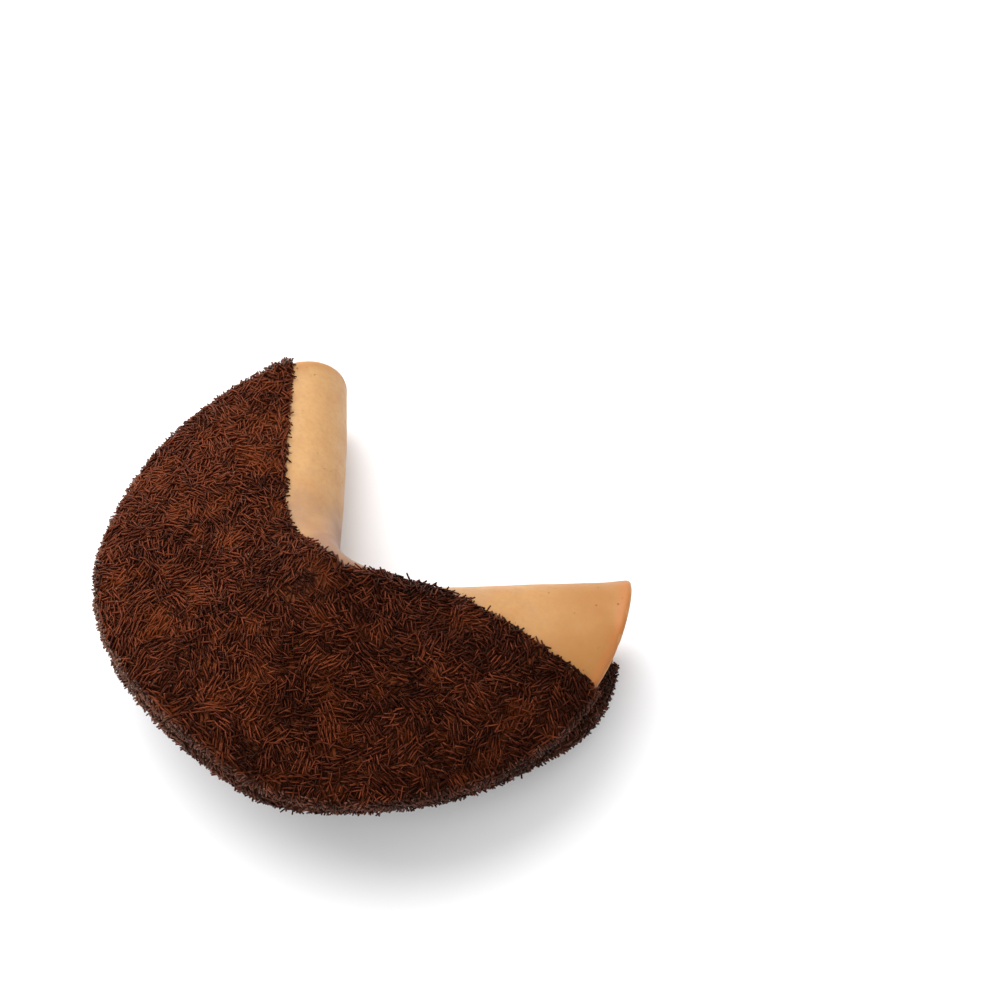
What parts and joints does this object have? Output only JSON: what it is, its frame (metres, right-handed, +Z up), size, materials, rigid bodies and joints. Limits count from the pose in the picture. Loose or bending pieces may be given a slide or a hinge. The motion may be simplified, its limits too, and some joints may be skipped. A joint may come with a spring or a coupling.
{
  "type": "fortune cookie",
  "caption": "Giant fortune cookie: a round wafer folded in half and bent into two horns, its faces coated in chocolate and sprinkles, its fold left bare.",
  "frame": {"origin": "on the surface that the cookie rests on, under the middle of its bounding box", "axes": "+Z up, +Y out of the notch between the horns, -Y towards the lips, X from horn to horn"},
  "size_m": [0.206, 0.1664, 0.0658],
  "materials": {
    "wafer": "golden baked wafer, dry and smooth, satin",
    "chocolate": "chocolate coat with chocolate sprinkles, soft gloss"
  },
  "bodies": {
    "root": {"wafer": "wafer", "chocolate_upper": "chocolate", "chocolate_lower": "chocolate"}
  },
  "joints": []
}
